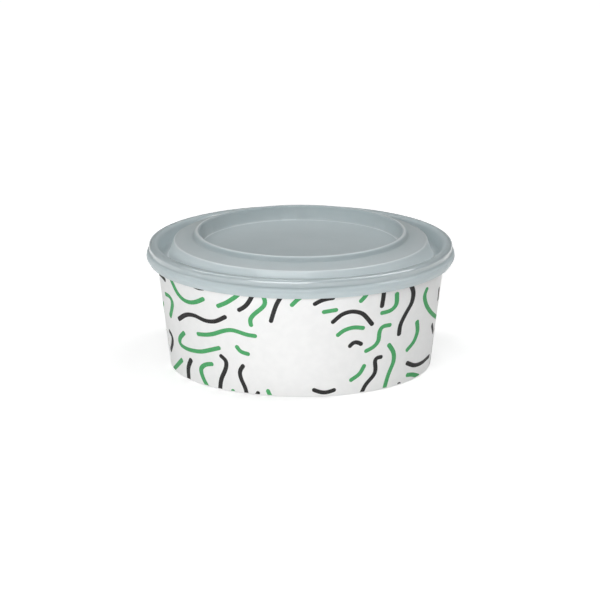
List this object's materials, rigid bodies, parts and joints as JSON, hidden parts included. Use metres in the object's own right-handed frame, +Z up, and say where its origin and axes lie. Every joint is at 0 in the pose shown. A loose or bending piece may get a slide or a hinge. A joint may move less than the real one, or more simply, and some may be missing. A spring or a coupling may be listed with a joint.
{
  "type": "card salad bowl with lid",
  "caption": "Round tapered card salad bowl with a rolled rim, a hemmed base disc and a stepped translucent plastic lid that lifts off; food container for takeaway.",
  "frame": {"origin": "centre of the foot on the table plane", "axes": "+Z up along the bowl's axis, -Y towards the front of the print, +Y towards the glued lap"},
  "size_m": [0.153, 0.153, 0.0675],
  "materials": {
    "card_wall": "satin",
    "card_base": "satin",
    "lid_plastic": "frosted"
  },
  "bodies": {
    "bowl": {"sidewall": "card_wall", "base_disc": "card_base"},
    "lid": {"lid": "lid_plastic"}
  },
  "joints": [
    {"name": "lid_lift", "type": "slide", "parent": "bowl", "child": "lid", "axis": [0, 0, 1], "range_m": [0, 0.08]}
  ]
}
